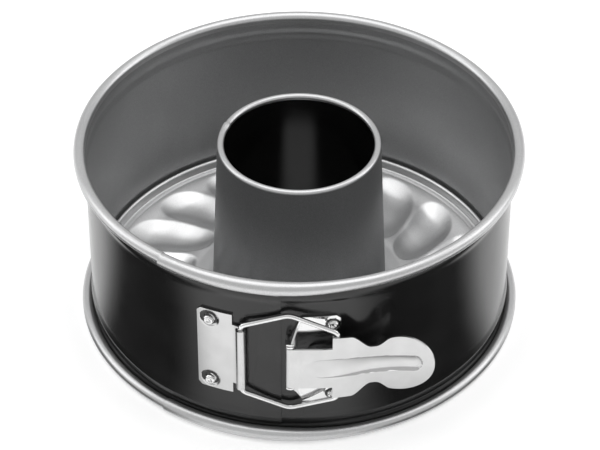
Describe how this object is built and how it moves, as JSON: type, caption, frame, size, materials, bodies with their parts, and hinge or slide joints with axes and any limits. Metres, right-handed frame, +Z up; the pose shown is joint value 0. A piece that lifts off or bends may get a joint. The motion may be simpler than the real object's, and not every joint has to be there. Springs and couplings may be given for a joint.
{
  "type": "springform pan",
  "caption": "Springform cake pan with a tube base: sprung ring with rolled beads, fluted base with chimney, and an over-centre wire clasp.",
  "frame": {"origin": "where the ring's axis meets the surface that the pan stands on", "axes": "+Z up along the ring's axis, the clasp faces -Y, +X to the right seen from the clasp's side"},
  "size_m": [0.1904, 0.1931, 0.0852],
  "materials": {
    "outer_coating": "gloss",
    "cake_coating": "satin",
    "nickel": "polished"
  },
  "bodies": {
    "ring": {"band_right": "outer_coating", "bracket": "nickel", "bracket_rivet_upper": "nickel", "bracket_rivet_lower": "nickel", "lever_pin": "nickel"},
    "ring_left": {"band_left": "outer_coating", "catch_plate": "nickel", "catch_rivet_upper": "nickel", "catch_rivet_lower": "nickel"},
    "bail": {"bail": "nickel"},
    "lever": {"lever": "nickel"},
    "base": {"base_plate": "cake_coating", "tube": "cake_coating"}
  },
  "joints": [
    {"name": "lever_swing", "type": "hinge", "parent": "ring", "child": "lever", "pos_m": [-0.0036, -0.09535, 0.0432], "axis": [0, 0, -1], "range_deg": [0, 120]},
    {"name": "band_open", "type": "hinge", "parent": "ring", "child": "ring_left", "pos_m": [0, 0.09525, 0.0426], "axis": [0, 0, -1], "range_deg": [0, 5.72]},
    {"name": "bail_swing", "type": "hinge", "parent": "ring_left", "child": "bail", "pos_m": [-0.02367, -0.09087, 0.0432], "axis": [0, 0, -1], "range_deg": [0, 27.84]},
    {"name": "base_lift", "type": "slide", "parent": "ring", "child": "base", "axis": [0, 0, 1], "range_m": [0, 0.1]}
  ],
  "couplings": [
    {"joint": "band_open", "follows": "lever_swing", "ratio": 0.0477},
    {"joint": "bail_swing", "follows": "lever_swing", "ratio": 0.232}
  ]
}
